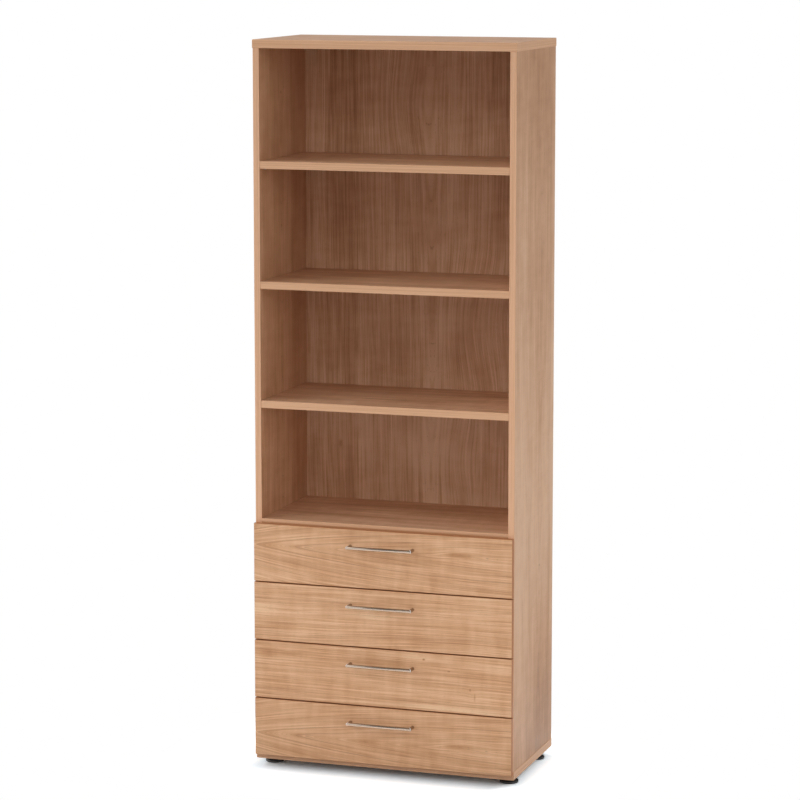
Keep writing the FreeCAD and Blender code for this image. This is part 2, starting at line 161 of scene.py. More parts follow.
cherry = {
    "tones": [(0.0, colour(172, 125, 89)), (0.32, colour(193, 146, 110)),
              (0.62, colour(211, 166, 131)), (1.0, colour(228, 189, 156))],
    # the drawer fronts take a lighter copy of these tones: painted light on the fronts
    "frontTones": [(0.0, colour(183, 130, 88)), (0.32, colour(206, 154, 111)),
                   (0.62, colour(225, 176, 135)), (1.0, colour(242, 200, 160))],
    "line": colour(140, 84, 50),
    "pore": colour(98, 60, 38),
    "fleck": colour(92, 54, 34),

    # how fine each pattern runs along and across the grain, where it starts, and its noise
    "patterns": {
        "wander": {"fine": (0.9, 4.5), "detail": 1.0},
        "flutter": {"fine": (5.0, 26.0)},
        "patches": {"fine": (5.0, 34.0), "start": (4.0, 0.0), "detail": 1.0},
        "streak": {"fine": (4.5, 240.0), "roughness": 0.6},
        "vein": {"fine": (2.5, 130.0), "start": (9.0, 3.0), "detail": 1.0},
        "broad": {"fine": (1.6, 26.0), "detail": 1.0},
        "blotch": {"fine": (5.0, 22.0), "start": (2.0, 5.0)},
        "curl": {"fine": (30.0, 12.0)},
        "frontCurl": {"fine": (30.0, 8.0)},
        "fibre": {"fine": (9.0, 560.0), "roughness": 0.6},
        "pore": {"fine": (70.0, 1200.0), "detail": 1.0},
    },
    # how much each pattern adds to the tone, what differs on the drawer fronts, and what calm quietens
    "weights": {"streak": 1.20, "vein": 0.45, "broad": 0.16, "blotch": 0.42, "curl": 0.42, "fibre": 0.85},
    "frontWeights": {"blotch": 0.22, "curl": 0.50},
    "calmed": ("streak", "vein", "fibre"),

    # growth rings
    "ringGap": 0.0082,
    "ringDrift": 3.4,                   # how many rings noise moves them by, and how soon it changes
    "driftPace": 0.45,
    "flutterShift": 0.0035,             # how far the flutter moves them
    "lateWood": 4.5,                    # how late in its growth a ring darkens
    "ringEnd": 0.92,                    # the share of a ring after which its line fades again
    # from and to which chance or patch value the rings' darkness goes, and from and to which darkness
    "ringDarkness": (0.15, 0.95, 0.05, 1.0),
    "patchDarkness": (0.35, 0.62, 0.25, 1.0),
    "lineEdge": (0.3, 1.3),             # widths from its middle at which a line of its own fades and ends
    "spotEdge": 1.6,                    # reaches from its middle at which an eye or a shade ends

    # shares of line and pore colour, and the values at which pores and flecks start and are full
    "lineShare": 0.50,
    "poreShare": 0.30,
    "poreCut": (0.66, 0.74),
    "fleckCut": (-0.1, -0.7),

    "roughness": (0.42, 0.52),          # over these values of the streaks
    "roughnessCut": (0.3, 0.7),
    "ior": 1.42,
    "fibreRelief": 0.6,
    "poreRelief": -0.8,
    "reliefDepth": 0.00006,
    "reliefStrength": 0.35,
}

# Edge bands, by the axis that the decorated faces look along: Z is for the shelves and flat panels,
# X for the sides and Y for the drawer fronts
edgeBand = {
    "tones": {
        "Z": [(0.0, colour(197, 146, 108)), (0.5, colour(223, 175, 137)), (1.0, colour(240, 194, 157))],
        "X": [(0.0, colour(200, 150, 112)), (0.5, colour(229, 179, 142)), (1.0, colour(244, 199, 163))],
        # the drawer fronts' bands are darker than the others: painted shade, so that the gaps round the
        # fronts read dark
        "Y": [(0.0, colour(150, 92, 54)), (0.5, colour(180, 120, 76)), (1.0, colour(202, 145, 100))],
    },
    "fine": {"X": (400.0, 400.0, 2.0), "Y": (2.0, 400.0, 2.0), "Z": (2.0, 2.0, 400.0)},
    "detail": 3.0,
    "roughness": 0.65,
    "contrast": 1.3,
    "faceCut": (0.85, 0.9),             # how squarely a place looks along the axis where the band gives way
    # the darker colour of the edge band's painted shade, where the drawer front below shades the deck's
    # edge
    "paintedShade": colour(184, 135, 95),
    "paintedShadeFade": 0.002,
}

particleBoard = {
    "tones": [(0.0, colour(118, 82, 56)), (0.5, colour(180, 140, 104)), (1.0, colour(218, 184, 146))],
    "chipFine": (300.0, 300.0, 480.0),
    "chipShare": 0.6,
    "gritFine": (900.0, 900.0, 900.0),
    "gritShare": 0.5,
    "rearDepth": 0.001,                 # how far in from the rear the bare edge goes
    "rearCut": 0.7,                     # how squarely a place of it looks to the rear
}

# Each board's figure. Places are in metres from the board's middle, first along the grain, then across it.
# along, across: the axes that the grain runs along and that the rings open across
# heart: where the arches point; taper: how steeply they open; reach: how soon they run straight
# tip: how blunt they are; wander: how far slow noise moves them; seed: which stretch of noise they get
# eyes: places where the grain swerves, with their reach along and across, and the swerve
# lines: dark lines of their own: how deep among the rings, how wide, how dark
# shades: lighter and darker places, with their reach along and across, and how much lighter; on the right
# side and the deck some are painted light and shade
# lift: how much lighter the board is, on the left side painted shade and on the right side painted light;
# calm: how much of its fine lines and rings is left
# low: how far down its eyes and shades are moved; weights: what differs from the decor's weights
# leaf, leafShift: how wide its veneer leaves are and how much their tones differ
# paintedShadeBelow: the height from the board's middle below which its edge band is painted darker, painted
# shade where the drawer front below shades it

flatFigure = {"along": "X", "across": "Y", "tip": 0.02, "wander": 0.03}
shelfFigure = dict(flatFigure, reach=0.7, weights={"broad": 0.90, "blotch": 0.55})
frontFigure = {"along": "X", "across": "Z"}
archedFigure = dict(
    frontFigure, heart=(-0.405, 0.024), taper=0.185, reach=0.42, tip=0.0035, wander=0.010, seed=0.0,
    eyes=[(0.245, 0.034, 0.07, 0.022, -0.007)],
    lines=[(-0.0005, 0.0022, 0.85), (-0.0190, 0.0016, 0.65), (-0.0225, 0.0012, 0.5),
           (-0.0345, 0.0016, 0.5), (0.0062, 0.0013, 0.35), (0.0165, 0.0016, 0.5),
           (0.0235, 0.0014, 0.45), (0.0310, 0.0016, 0.5), (0.0450, 0.0016, 0.4),
           (0.0560, 0.0020, 0.4)],
    shades=[(0.240, 0.031, 0.045, 0.006, -0.42), (0.19, 0.058, 0.05, 0.012, 0.16),
            (0.27, 0.050, 0.05, 0.010, 0.18), (0.33, 0.012, 0.06, 0.010, 0.20),
            (0.00, 0.010, 0.20, 0.020, -0.16), (-0.28, 0.055, 0.14, 0.020, 0.08),
            (-0.32, -0.068, 0.12, 0.016, 0.20)])

figures = {
    "left_side": {
        "along": "Z", "across": "Y", "heart": (0.30, -0.02), "taper": 0.020, "reach": 1.6, "tip": 0.03,
        # its lift darkens the whole board: painted shade for its inner face within the compartments
        "wander": 0.03, "leaf": 0.062, "leafShift": 0.30, "seed": 2.3, "calm": 0.6, "lift": -0.08,
        "weights": {"broad": 0.30, "curl": 0.30}, "eyes": [(0.45, 0.05, 0.20, 0.05, 0.02)]},
    "right_side": {
        "along": "Z", "across": "Y", "heart": (-0.80, 0.06), "taper": 0.028, "reach": 1.4, "tip": 0.03,
        # its lift lightens the whole board: painted light for its outer face
        "wander": 0.03, "leaf": 0.085, "leafShift": 0.20, "seed": 5.1, "calm": 0.65, "lift": 0.11,
        "weights": {"broad": 0.36, "curl": 0.30}, "eyes": [(-0.10, 0.10, 0.15, 0.05, 0.02)],
        # the third to the sixth shades, a lighter middle and a darker bottom, top and lower rear, are
        # painted light and shade on the outer face
        "shades": [(-0.02, 0.20, 0.03, 0.010, -0.35), (0.3, 0.20, 1.6, 0.025, 0.12),
                   (-0.34, 0.02, 0.50, 0.60, 0.30), (-1.02, 0.0, 0.22, 0.60, -0.22),
                   (1.04, 0.0, 0.30, 0.60, -0.22), (-0.85, 0.20, 0.36, 0.22, -0.28)]},
    "back_panel": {
        "along": "Z", "across": "X", "heart": (-1.10, 0.02), "taper": 0.030, "reach": 1.5, "tip": 0.05,
        "wander": 0.035, "leaf": 0.104, "leafShift": 0.40, "seed": 7.7, "calm": 0.8,
        "weights": {"broad": 0.50, "streak": 1.80},
        "eyes": [(0.22, 0.16, 0.16, 0.10, 0.03), (0.86, -0.06, 0.13, 0.08, 0.02),
                 (-0.20, 0.10, 0.12, 0.05, 0.02)],
        "shades": [(0.28, 0.155, 0.05, 0.016, -0.22), (0.40, 0.13, 0.04, 0.02, -0.18),
                   (-0.26, 0.02, 0.05, 0.006, -0.5), (-0.17, -0.27, 0.012, 0.006, -0.5),
                   (-0.08, -0.27, 0.13, 0.12, 0.32), (-0.22, 0.00, 0.16, 0.14, 0.18)]},
    "top_panel": dict(flatFigure, heart=(-0.60, 0.02), taper=0.060, reach=0.8, seed=1.7),
    "base_panel": dict(flatFigure, heart=(-0.50, 0.05), taper=0.070, reach=0.6, seed=3.4),
    "fixed_deck": dict(
        shelfFigure, heart=(-0.45, 0.02), taper=0.080, reach=0.6, wander=0.04, seed=5.9, lift=0.06,
        # the deck's front edge is painted darker below this height: painted shade from the drawer front
        # below
        paintedShadeBelow=0.0015,
        # the second shade, darker over the deck's rear half, is painted shade at the back of the
        # compartment
        shades=[(0.05, 0.03, 0.25, 0.04, -0.12), (0.14, 0.12, 0.34, 0.09, -0.30),
                (-0.30, 0.02, 0.10, 0.12, 0.12)]),
    "upper_shelf": dict(shelfFigure, heart=(-0.60, -0.02), taper=0.050, seed=8.2),
    "middle_shelf": dict(shelfFigure, heart=(-0.60, 0.05), taper=0.060, seed=9.6),
    "lower_shelf": dict(shelfFigure, heart=(-0.50, -0.06), taper=0.070, seed=11.3, lift=0.03),
    "drawer_front_1": dict(archedFigure, lift=0.03),
    "drawer_front_2": dict(
        frontFigure, heart=(-0.40, -0.30), taper=0.012, reach=1.50, tip=0.02, wander=0.012, seed=4.4,
        lift=0.10,
        eyes=[(0.26, -0.090, 0.33, 0.070, -0.026), (-0.30, 0.010, 0.10, 0.03, 0.004)],
        lines=[(0.3380, 0.0016, 0.75), (0.3415, 0.0014, 0.6), (0.3300, 0.0014, 0.35),
               (0.2500, 0.0016, 0.5), (0.2410, 0.0014, 0.6), (0.2350, 0.0014, 0.6),
               (0.2280, 0.0016, 0.5), (0.2620, 0.0014, 0.4)],
        shades=[(-0.375, 0.006, 0.05, 0.020, 0.30), (-0.24, 0.012, 0.08, 0.020, 0.16),
                (-0.01, 0.000, 0.05, 0.016, 0.20), (-0.32, -0.045, 0.07, 0.020, -0.22),
                (0.02, 0.050, 0.10, 0.016, -0.16), (0.30, 0.020, 0.12, 0.022, 0.12),
                (0.10, -0.055, 0.14, 0.016, -0.16)]),
    "drawer_front_3": dict(
        frontFigure, heart=(-0.90, 0.30), taper=0.012, reach=0.80, tip=0.02, wander=0.014, seed=8.8,
        lift=0.05,
        eyes=[(0.280, -0.028, 0.018, 0.026, 0.003)],
        lines=[(0.3560, 0.0016, 0.45), (0.3480, 0.0014, 0.35), (0.3655, 0.0014, 0.5),
               (0.2560, 0.0014, 0.3), (0.2900, 0.0014, 0.3)],
        shades=[(0.130, 0.0665, 0.0036, 0.0032, -0.95), (0.207, 0.0365, 0.0042, 0.0026, -0.65),
                (0.272, -0.014, 0.0030, 0.0040, -0.5), (0.286, -0.036, 0.0026, 0.0120, -0.42),
                (-0.35, 0.050, 0.04, 0.018, -0.30), (-0.28, 0.048, 0.03, 0.012, -0.26),
                (-0.06, 0.052, 0.14, 0.016, -0.20), (0.16, 0.070, 0.10, 0.010, 0.16),
                (0.32, 0.052, 0.10, 0.014, 0.16), (0.32, 0.022, 0.10, 0.012, -0.12),
                (0.20, -0.074, 0.24, 0.007, 0.40), (-0.20, -0.062, 0.14, 0.010, -0.14)]),
    "drawer_front_4": dict(archedFigure, heart=(-0.405, -0.018), low=0.042, lift=0.04),
}


def faceAxis(node):
    # the axis that a board's decorated faces look along
    if node.endswith("_side"):
        return "X"
    return "Y" if node == "back_panel" or node.startswith("drawer_front") else "Z"


def pattern(tree, name, flow):
    look = cherry["patterns"][name]
    place = stretched(tree, flow, (*look["fine"], 1.0), (*look.get("start", (0.0, 0.0)), 0.0))
    return noise(tree, place, detail=look.get("detail", 2.0), roughness=look.get("roughness", 0.5))


def softSpot(tree, flat, figure, along, across, reachAlong, reachAcross):
    # one in the middle of a place, fading to nothing all round it
    across = across - figure.get("low", 0.0)
    size = (1 / reachAlong, 1 / reachAcross, 0.0)
    place = stretched(tree, flat, size, (-along / reachAlong, -across / reachAcross, 0.0))
    return fit(tree, lengthOf(tree, place), 0.0, cherry["spotEdge"], 1.0, 0.0)


def ringDepth(tree, figure, flat, along, across):
    # the way out from the heart, moved by noise and by the eyes
    heartAlong, heartAcross = figure["heart"]
    strayed = across
    for name, shift in (("wander", figure["wander"]), ("flutter", cherry["flutterShift"])):
        strayed = calc(tree, "ADD", strayed, centred(tree, pattern(tree, name, flat), shift))
    for *place, swerve in figure.get("eyes", []):
        strayed = calc(tree, "MULTIPLY_ADD", softSpot(tree, flat, figure, *place), swerve, strayed)
    sideways = calc(tree, "SUBTRACT", strayed, heartAcross)
    outward = calc(tree, "SQRT", calc(tree, "MULTIPLY_ADD", sideways, sideways, figure["tip"] ** 2))
    onward = calc(tree, "DIVIDE", calc(tree, "SUBTRACT", heartAlong, along), figure["reach"])
    opened = calc(tree, "MULTIPLY", calc(tree, "SUBTRACT", 1.0, calc(tree, "EXPONENT", onward)),
                  figure["taper"] * figure["reach"])
    return calc(tree, "SUBTRACT", outward, opened)


def ringLines(tree, figure, depth, grain):
    # each ring darkens towards its end, some more than others; lines of their own lie among them
    ring = calc(tree, "DIVIDE", depth, cherry["ringGap"])
    years = joined(tree, calc(tree, "MULTIPLY", ring, cherry["driftPace"]), figure["seed"])
    ring = calc(tree, "ADD", ring, centred(tree, noise(tree, years, detail=1.0), cherry["ringDrift"]))
    season = calc(tree, "FRACT", ring)
    late = calc(tree, "MULTIPLY", calc(tree, "POWER", season, cherry["lateWood"]),
                fit(tree, season, 1.0, cherry["ringEnd"]))
    darkness = chance(tree, calc(tree, "ADD", calc(tree, "FLOOR", ring), figure["seed"]))
    late = calc(tree, "MULTIPLY", late, fit(tree, darkness, *cherry["ringDarkness"], "LINEAR"))
    inner, outer = cherry["lineEdge"]
    for lineDepth, width, dark in figure.get("lines", []):
        off = calc(tree, "ABSOLUTE", calc(tree, "SUBTRACT", depth, lineDepth))
        late = calc(tree, "MAXIMUM", late, fit(tree, off, width * inner, width * outer, dark, 0.0))
    patches = pattern(tree, "patches", grain)
    return calc(tree, "MULTIPLY", late, fit(tree, patches, *cherry["patchDarkness"]))


def decorTone(tree, figure, weights, patterns, flat, across):
    # the boards' patterns, leaves and shades added up: 0 is the darkest tone and 1 the lightest
    calm = figure.get("calm", 1.0)
    tone = 0.5 + figure.get("lift", 0.0)
    for name, weight in weights.items():
        share = weight * calm if name in cherry["calmed"] else weight
        tone = calc(tree, "ADD", tone, centred(tree, patterns[name], share))
    if "leaf" in figure:
        shifted = calc(tree, "ADD", across, figure["seed"])
        leaf = calc(tree, "FLOOR", calc(tree, "DIVIDE", shifted, figure["leaf"]))
        tone = calc(tree, "ADD", tone, centred(tree, chance(tree, leaf), figure["leafShift"]))
    for *place, amount in figure.get("shades", []):
        tone = calc(tree, "MULTIPLY_ADD", softSpot(tree, flat, figure, *place), amount, tone)
    return tone


def bandColour(tree, figure, face, place, height):
    # plain fine lines along each edge
    lines = noise(tree, stretched(tree, place, edgeBand["fine"][face]),
                  detail=edgeBand["detail"], roughness=edgeBand["roughness"])
    tone = calc(tree, "ADD", 0.5, centred(tree, lines, edgeBand["contrast"]))
    band = toned(tree, tone, edgeBand["tones"][face])
    if "paintedShadeBelow" in figure:
        # painted shade: the strip of edge that the front under it shades is painted darker
        edge, fade = figure["paintedShadeBelow"], edgeBand["paintedShadeFade"]
        band = blended(tree, fit(tree, height, edge - fade, edge + fade, 1.0, 0.0), band, edgeBand["paintedShade"])
    return band


def chipColour(tree, place):
    chipPlace = stretched(tree, place, particleBoard["chipFine"])
    chips = addNode(tree, "ShaderNodeTexVoronoi", {"Vector": chipPlace})
    chip = addNode(tree, "ShaderNodeSeparateColor", {"Color": chips.outputs["Color"]}).outputs[0]
    grit = noise(tree, stretched(tree, place, particleBoard["gritFine"]), detail=1.0)
    tone = calc(tree, "MULTIPLY_ADD", chip, particleBoard["chipShare"],
                calc(tree, "MULTIPLY", grit, particleBoard["gritShare"]))
    return toned(tree, tone, particleBoard["tones"])


def cherryMaterial(node, figure):
    material, tree = newMaterial("cherry_" + node)
    low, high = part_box(node)
    middle = (low + high) / 2
    face, isFront = faceAxis(node), node.startswith("drawer_front")
    coords = addNode(tree, "ShaderNodeTexCoord").outputs
    place = coords["Object"]
    looks = separated(tree, coords["Normal"])
    parts = separated(tree, stretched(tree, place, (1.0, 1.0, 1.0), [-value for value in middle]))
    along, across = parts[figure["along"]], parts[figure["across"]]

    # flat lies plainly on the board, grain follows its rings
    flat = joined(tree, along, across, figure["seed"])
    depth = ringDepth(tree, figure, flat, along, across)
    grain = joined(tree, along, depth, figure["seed"])
    late = ringLines(tree, figure, depth, grain)
    patterns = {name: pattern(tree, name, grain) for name in ("fibre", "streak", "vein", "broad")}
    patterns["blotch"] = pattern(tree, "blotch", flat)
    patterns["curl"] = pattern(tree, "frontCurl" if isFront else "curl", flat)
    pore = fit(tree, pattern(tree, "pore", grain), *cherry["poreCut"])

    weights = dict(cherry["weights"])
    if isFront:
        weights.update(cherry["frontWeights"])
    weights.update(figure.get("weights", {}))
    tone = decorTone(tree, figure, weights, patterns, flat, across)
    decor = toned(tree, tone, cherry["frontTones" if isFront else "tones"])
    decor = blended(tree, fit(tree, tone, *cherry["fleckCut"]), decor, cherry["fleck"])
    lineShare = calc(tree, "MULTIPLY", late, cherry["lineShare"] * figure.get("calm", 1.0))
    decor = blended(tree, lineShare, decor, cherry["line"])
    decor = blended(tree, calc(tree, "MULTIPLY", pore, cherry["poreShare"]), decor, cherry["pore"])

    band = bandColour(tree, figure, face, place, parts["Z"])
    isFace = fit(tree, calc(tree, "ABSOLUTE", looks[face]), *edgeBand["faceCut"], curve="LINEAR")
    shade = blended(tree, isFace, band, decor)
    if face != "Y":
        # the unbanded rear edge shows the pressed chips
        rearFrom = high.y - particleBoard["rearDepth"] - middle.y
        isRear = calc(tree, "MULTIPLY", calc(tree, "GREATER_THAN", looks["Y"], particleBoard["rearCut"]),
                      calc(tree, "GREATER_THAN", parts["Y"], rearFrom))
        shade = blended(tree, isRear, shade, chipColour(tree, place))

    relief = calc(tree, "MULTIPLY_ADD", patterns["fibre"], cherry["fibreRelief"],
                  calc(tree, "MULTIPLY", pore, cherry["poreRelief"]))
    roughness = fit(tree, patterns["streak"], *cherry["roughnessCut"], *cherry["roughness"])
    finishMaterial(tree, {"Base Color": shade, "Roughness": roughness, "IOR": cherry["ior"]},
                   relief, cherry["reliefDepth"], cherry["reliefStrength"])
    return material


for node, figure in figures.items():
    dress(cherryMaterial(node, figure), node)
print("boards dressed")


# Plain finishes

finishes = {
    "box_foil": {"light": colour(196, 194, 188), "deep": colour(182, 180, 174), "roughness": 0.45,
                 "grain": (40.0, 40.0, 400.0)},
    "runner_coat": {"light": colour(226, 226, 222), "deep": colour(214, 214, 209), "roughness": 0.38},
    "nylon": {"light": colour(232, 231, 224), "deep": colour(214, 213, 205), "roughness": 0.35},
    "satin_nickel": {"light": colour(182, 166, 150), "deep": colour(166, 150, 135), "roughness": 0.17,
                     "metallic": 1.0, "grain": (8.0, 900.0, 900.0), "relief": 0.000004},
    "bright_zinc": {"light": colour(206, 207, 205), "deep": colour(178, 180, 180), "roughness": 0.28,
                    "metallic": 1.0},
    "black_plastic": {"light": colour(28, 28, 29), "deep": colour(18, 18, 19), "roughness": 0.42},
    "bare_beech": {"light": colour(214, 180, 136), "deep": colour(192, 155, 112), "roughness": 0.6},
}

# How strongly fine and slow noise part the two colours, and how far fine noise moves the roughness
unevenness = {
    "fineDetail": 3.0,
    "fineRoughness": 0.6,
    "fineShare": 0.35,
    "slowScale": 9.0,
    "slowShare": 0.3,
    "colourCut": (0.2, 0.6),
    "roughnessCut": (0.3, 0.7),
    "smoother": 0.05,
    "rougher": 0.07,
    "reliefStrength": 0.4,
}


def plainMaterial(name, light, deep, roughness, metallic=0.0, grain=(300.0, 300.0, 300.0), relief=0.00003):
    material, tree = newMaterial(name)
    place = addNode(tree, "ShaderNodeTexCoord").outputs["Object"]
    fine = noise(tree, stretched(tree, place, grain),
                 detail=unevenness["fineDetail"], roughness=unevenness["fineRoughness"])
    slow = noise(tree, place, scale=unevenness["slowScale"])
    mixed = calc(tree, "MULTIPLY_ADD", fine, unevenness["fineShare"],
                 calc(tree, "MULTIPLY", slow, unevenness["slowShare"]))
    tint = blended(tree, fit(tree, mixed, *unevenness["colourCut"]), deep, light)
    rough = fit(tree, fine, *unevenness["roughnessCut"],
                roughness - unevenness["smoother"], roughness + unevenness["rougher"])
    finishMaterial(tree, {"Base Color": tint, "Roughness": rough, "Metallic": metallic},
                   fine, relief, unevenness["reliefStrength"])
    return material


materials = {name: plainMaterial(name, **finish) for name, finish in finishes.items()}
for number in drawerNumbers:
    for board in ("side_left", "side_right", "back", "bottom"):
        dress(materials["box_foil"], f"drawer_{board}_{number}")
    dress(materials["runner_coat"], f"drawer_runners_{number}")
dress(materials["runner_coat"], "cabinet_runners_left", "cabinet_runners_right")
dress(materials["bright_zinc"], "shelf_pins")
dress(materials["bare_beech"], "carcass_tongues")
print("fittings dressed")


# Mesh and Geometry Nodes helpers

sharpFrom = 35          # degrees between two faces from which their edge is sharp
mergeWithin = 0.000001


def finishPiece(piece, body, slot, *replaced):
    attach(piece, body)
    if replaced:
        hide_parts(*replaced)


def placeMesh(name, mesh, material=None, sharpAngle=sharpFrom):
    for polygon in mesh.polygons:
        polygon.use_smooth = True
    mesh.set_sharp_from_angle(angle=math.radians(sharpAngle))
    if material is not None:
        mesh.materials.append(material)
    piece = bpy.data.objects.new(name, mesh)
    bpy.context.scene.collection.objects.link(piece)
    return piece


def cleanMesh(name, form):
    bmesh.ops.remove_doubles(form, verts=form.verts, dist=mergeWithin)
    bmesh.ops.recalc_face_normals(form, faces=form.faces)
    mesh = bpy.data.meshes.new(name)
    form.to_mesh(mesh)
    form.free()
    return mesh


def turn(form, outline, steps, place=(0.0, 0.0, 0.0), axis="Z"):
    # outline: radius and height pairs in millimetres, round the axis; it closes on itself or on the axis
    rings = []
    for radius, height in outline:
        ring = []
        for step in range(steps):
            angle = math.tau * step / steps
            across, up = radius * math.cos(angle), radius * math.sin(angle)
            point = (across, up, height) if axis == "Z" else (height, across, up)
            ring.append(form.verts.new(Vector(place) + Vector(point) * millimetre))
        rings.append(ring)
    pairs = list(zip(rings, rings[1:]))
    if outline[0][0] > 0 and outline[-1][0] > 0:
        pairs.append((rings[-1], rings[0]))
    for lower, upper in pairs:
        for step in range(steps):
            after = (step + 1) % steps
            form.faces.new((lower[step], lower[after], upper[after], upper[step]))


def evaluatedMesh(piece):
    depsgraph = bpy.context.evaluated_depsgraph_get()
    return bpy.data.meshes.new_from_object(piece.evaluated_get(depsgraph), depsgraph=depsgraph)


def newTree(name, **inputs):
    tree = bpy.data.node_groups.new(name, "GeometryNodeTree")
    for label, kind in inputs.items():
        tree.interface.new_socket(name=label, in_out="INPUT", socket_type="NodeSocket" + kind)
    tree.interface.new_socket(name="Geometry", in_out="OUTPUT", socket_type="NodeSocketGeometry")
    return tree, tree.nodes.new("NodeGroupInput").outputs


def endTree(tree, geometry, material):
    real = addNode(tree, "GeometryNodeRealizeInstances", {"Geometry": geometry})
    smooth = addNode(tree, "GeometryNodeSetShadeSmooth", {"Geometry": real.outputs[0]})
    finished = addNode(tree, "GeometryNodeSetMaterial",
                       {"Geometry": smooth.outputs[0], "Material": material})
    output = tree.nodes.new("NodeGroupOutput")
    tree.links.new(finished.outputs[0], output.inputs[0])


def grow(name, tree, mesh=None, **values):
    # runs the tree on a piece and keeps what it makes as a plain mesh
    piece = bpy.data.objects.new(name, mesh or bpy.data.meshes.new(name))
    maker = piece.modifiers.new("maker", "NODES")
    maker.node_group = tree
    for item in tree.interface.items_tree:
        if item.in_out == "INPUT" and item.name in values:
            maker[item.identifier] = values[item.name]
    bpy.context.scene.collection.objects.link(piece)
    plain = evaluatedMesh(piece)
    piece.modifiers.remove(maker)
    piece.data = plain
    plain.name = name
    plain.set_sharp_from_angle(angle=math.radians(sharpFrom))
    return piece


# Handles: a round bar mitred at both corners, whose ends meet the drawer front

handle = {
    "barRadius": 0.005,
    "roundSteps": 32,
    "cornerWear": 0.0012,
    "cornerSteps": 3,
    "cornerReach": 3,       # bar radii back from the bar's front, within which the mitres lie
}


def makeHandleTree():
    # a tube of three unit lengths: each of its four rings goes to a root or to a mitred corner
    tree, given = newTree("mitredBar", Half="Float", Reach="Float", BarRadius="Float", Place="Vector",
                          RoundSteps="Int", Finish="Material")
    tube = addNode(tree, "GeometryNodeMeshCylinder",
                   {"Vertices": given["RoundSteps"], "Side Segments": 3, "Radius": 1.0, "Depth": 3.0})
    parts = separated(tree, addNode(tree, "GeometryNodeInputPosition").outputs[0])
    hand = calc(tree, "SIGN", parts["Z"])
    isCorner = calc(tree, "LESS_THAN", calc(tree, "ABSOLUTE", parts["Z"]), 1.0)
    outwards = calc(tree, "MULTIPLY", parts["X"], given["BarRadius"])
    x = calc(tree, "MULTIPLY", hand, calc(tree, "ADD", given["Half"], outwards))
    y = calc(tree, "MULTIPLY", calc(tree, "MULTIPLY", isCorner, -1.0),
             calc(tree, "ADD", given["Reach"], outwards))
    z = calc(tree, "MULTIPLY", calc(tree, "MULTIPLY", parts["Y"], -1.0), given["BarRadius"])
    there = addNode(tree, "ShaderNodeVectorMath", {0: joined(tree, x, y, z), 1: given["Place"]},
                    operation="ADD")
    bar = addNode(tree, "GeometryNodeSetPosition",
                  {"Geometry": tube.outputs[0], "Position": there.outputs[0]})
    endTree(tree, bar.outputs[0], given["Finish"])
    return tree


def softenMitres(mesh, rearLimit):
    form = bmesh.new()
    form.from_mesh(mesh)
    mitres = [edge for edge in form.edges
              if all(vertex.co.y < rearLimit for vertex in edge.verts)
              and abs(edge.verts[0].co.x - edge.verts[1].co.x) < handle["barRadius"]]
    bmesh.ops.bevel(form, geom=mitres, offset=handle["cornerWear"], segments=handle["cornerSteps"],
                    profile=0.5, affect="EDGES")
    form.to_mesh(mesh)
    form.free()
    mesh.set_sharp_from_angle(angle=math.radians(sharpFrom))


handleTree = makeHandleTree()
for number in drawerNumbers:
    low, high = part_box(f"handle_{number}")
    radius = handle["barRadius"]
    bar = grow(f"bow_handle_{number}", handleTree, Half=(high.x - low.x) / 2 - radius,
               Reach=high.y - low.y - radius, BarRadius=radius, Place=(0.0, high.y, (low.z + high.z) / 2),
               RoundSteps=handle["roundSteps"], Finish=materials["satin_nickel"])
    softenMitres(bar.data, low.y + radius * handle["cornerReach"])
    finishPiece(bar, f"drawer_{number}", "handle_metal", f"handle_{number}")
print("handles made")


# Fixings: screw heads and pads, each kind set on points that know which way they look

fixings = {
    # outlines are radius and height pairs; they and the depth of the driver's cross are in millimetres
    "panHead": {
        "outline": [(0.0, 2.6), (1.5, 2.55), (2.9, 2.2), (3.9, 1.5), (4.4, 0.7), (4.5, 0.0), (0.0, 0.0)],
        "crossDepth": 1.6, "material": "bright_zinc", "slot": "zinc_fittings"},
    "flatHead": {
        "outline": [(0.0, 0.9), (2.6, 0.88), (3.9, 0.62), (4.5, 0.15), (4.5, 0.0), (0.0, 0.0)],
        "crossDepth": 0.55, "material": "bright_zinc", "slot": "zinc_fittings"},
    "pad": {
        "outline": [(0.0, 0.9), (2.6, 0.85), (3.6, 0.6), (4.0, 0.2), (4.0, 0.0), (0.0, 0.0)],
        "material": "nylon", "slot": "roller_plastic"},
}
roundHeadSteps = 24
cross = {"arm": 2.3, "half": 0.55, "over": 1.0, "taper": 0.7}   # millimetres, and how it narrows


def cutCross(head, top, depth):
    # a cross that narrows as it goes down, cut out of the head with a plain solid
    half, arm, taper = cross["half"], cross["arm"], cross["taper"]
    quarter = [(half, half), (half, arm), (-half, arm)]
    corners = []
    for step in range(4):
        corners += quarter
        quarter = [(-y, x) for x, y in quarter]
    form = bmesh.new()
    bottom = form.faces.new([form.verts.new(Vector((x * taper, y * taper, top - depth)) * millimetre)
                             for x, y in corners])
    raised = bmesh.ops.extrude_face_region(form, geom=[bottom])["geom"]
    for vertex in (item for item in raised if isinstance(item, bmesh.types.BMVert)):
        vertex.co = Vector((vertex.co.x / taper, vertex.co.y / taper, (top + cross["over"]) * millimetre))
    cutter = placeMesh(head.name + "_cross", cleanMesh(head.name + "_cross", form))
    cut = head.modifiers.new("cross", "BOOLEAN")
    cut.operation, cut.solver, cut.object = "DIFFERENCE", "EXACT", cutter
    head.data = evaluatedMesh(head)
    head.modifiers.remove(cut)
    bpy.data.objects.remove(cutter)


def makeHead(kind):
    fixing = fixings[kind]
    form = bmesh.new()
    turn(form, fixing["outline"], roundHeadSteps)
    head = placeMesh(kind, cleanMesh(kind, form))
    if "crossDepth" in fixing:
        cutCross(head, fixing["outline"][0][1], fixing["crossDepth"])
    return head


